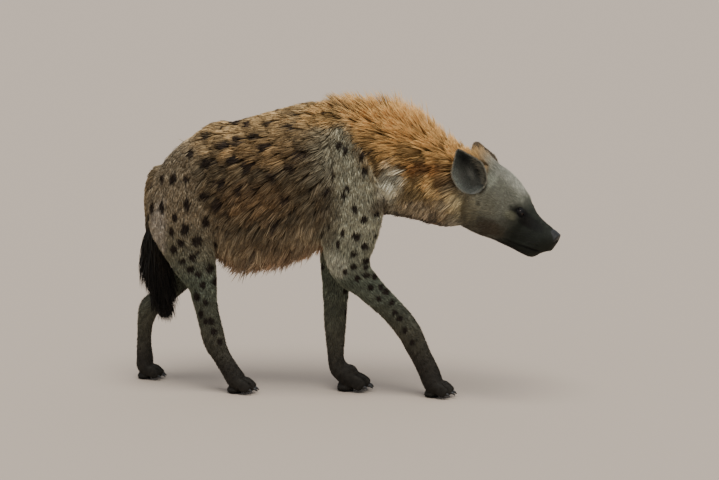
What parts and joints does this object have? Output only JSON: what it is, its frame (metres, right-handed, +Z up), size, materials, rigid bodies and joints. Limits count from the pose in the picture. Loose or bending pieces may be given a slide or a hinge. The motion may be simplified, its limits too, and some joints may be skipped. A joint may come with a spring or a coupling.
{
  "type": "spotted hyena model",
  "caption": "Life-size still model of a spotted hyena in a slow walk with its head low, shaggy mane, spotted coat and hanging brush tail.",
  "frame": {"origin": "on the floor under the middle of the whole animal", "axes": "+X towards the nose, +Y towards the animal's left, +Z up"},
  "size_m": [1.2254, 0.3074, 0.8563],
  "materials": {
    "coat": "shaggy fur, yellowish brown with dark spots",
    "mane": "long coarse hair, ginger",
    "face": "short dense fur, dark grey brown",
    "foot": "short fur with dark claws",
    "brush": "long straight black hair",
    "nose": "bare moist skin",
    "eye": "wet gloss"
  },
  "bodies": {
    "root": {"torso": "coat", "neck": "mane", "head": "face", "nose": "nose", "ear_right": "face", "ear_left": "face", "eye_right": "eye", "eye_left": "eye", "tail_root": "coat", "tail_brush": "brush", "fore_right_upper": "coat", "fore_right_lower": "coat", "fore_right_foot": "foot", "fore_left_upper": "coat", "fore_left_lower": "coat", "fore_left_foot": "foot", "hind_right_upper": "coat", "hind_right_lower": "coat", "hind_right_foot": "foot", "hind_left_upper": "coat", "hind_left_lower": "coat", "hind_left_foot": "foot"}
  },
  "joints": []
}
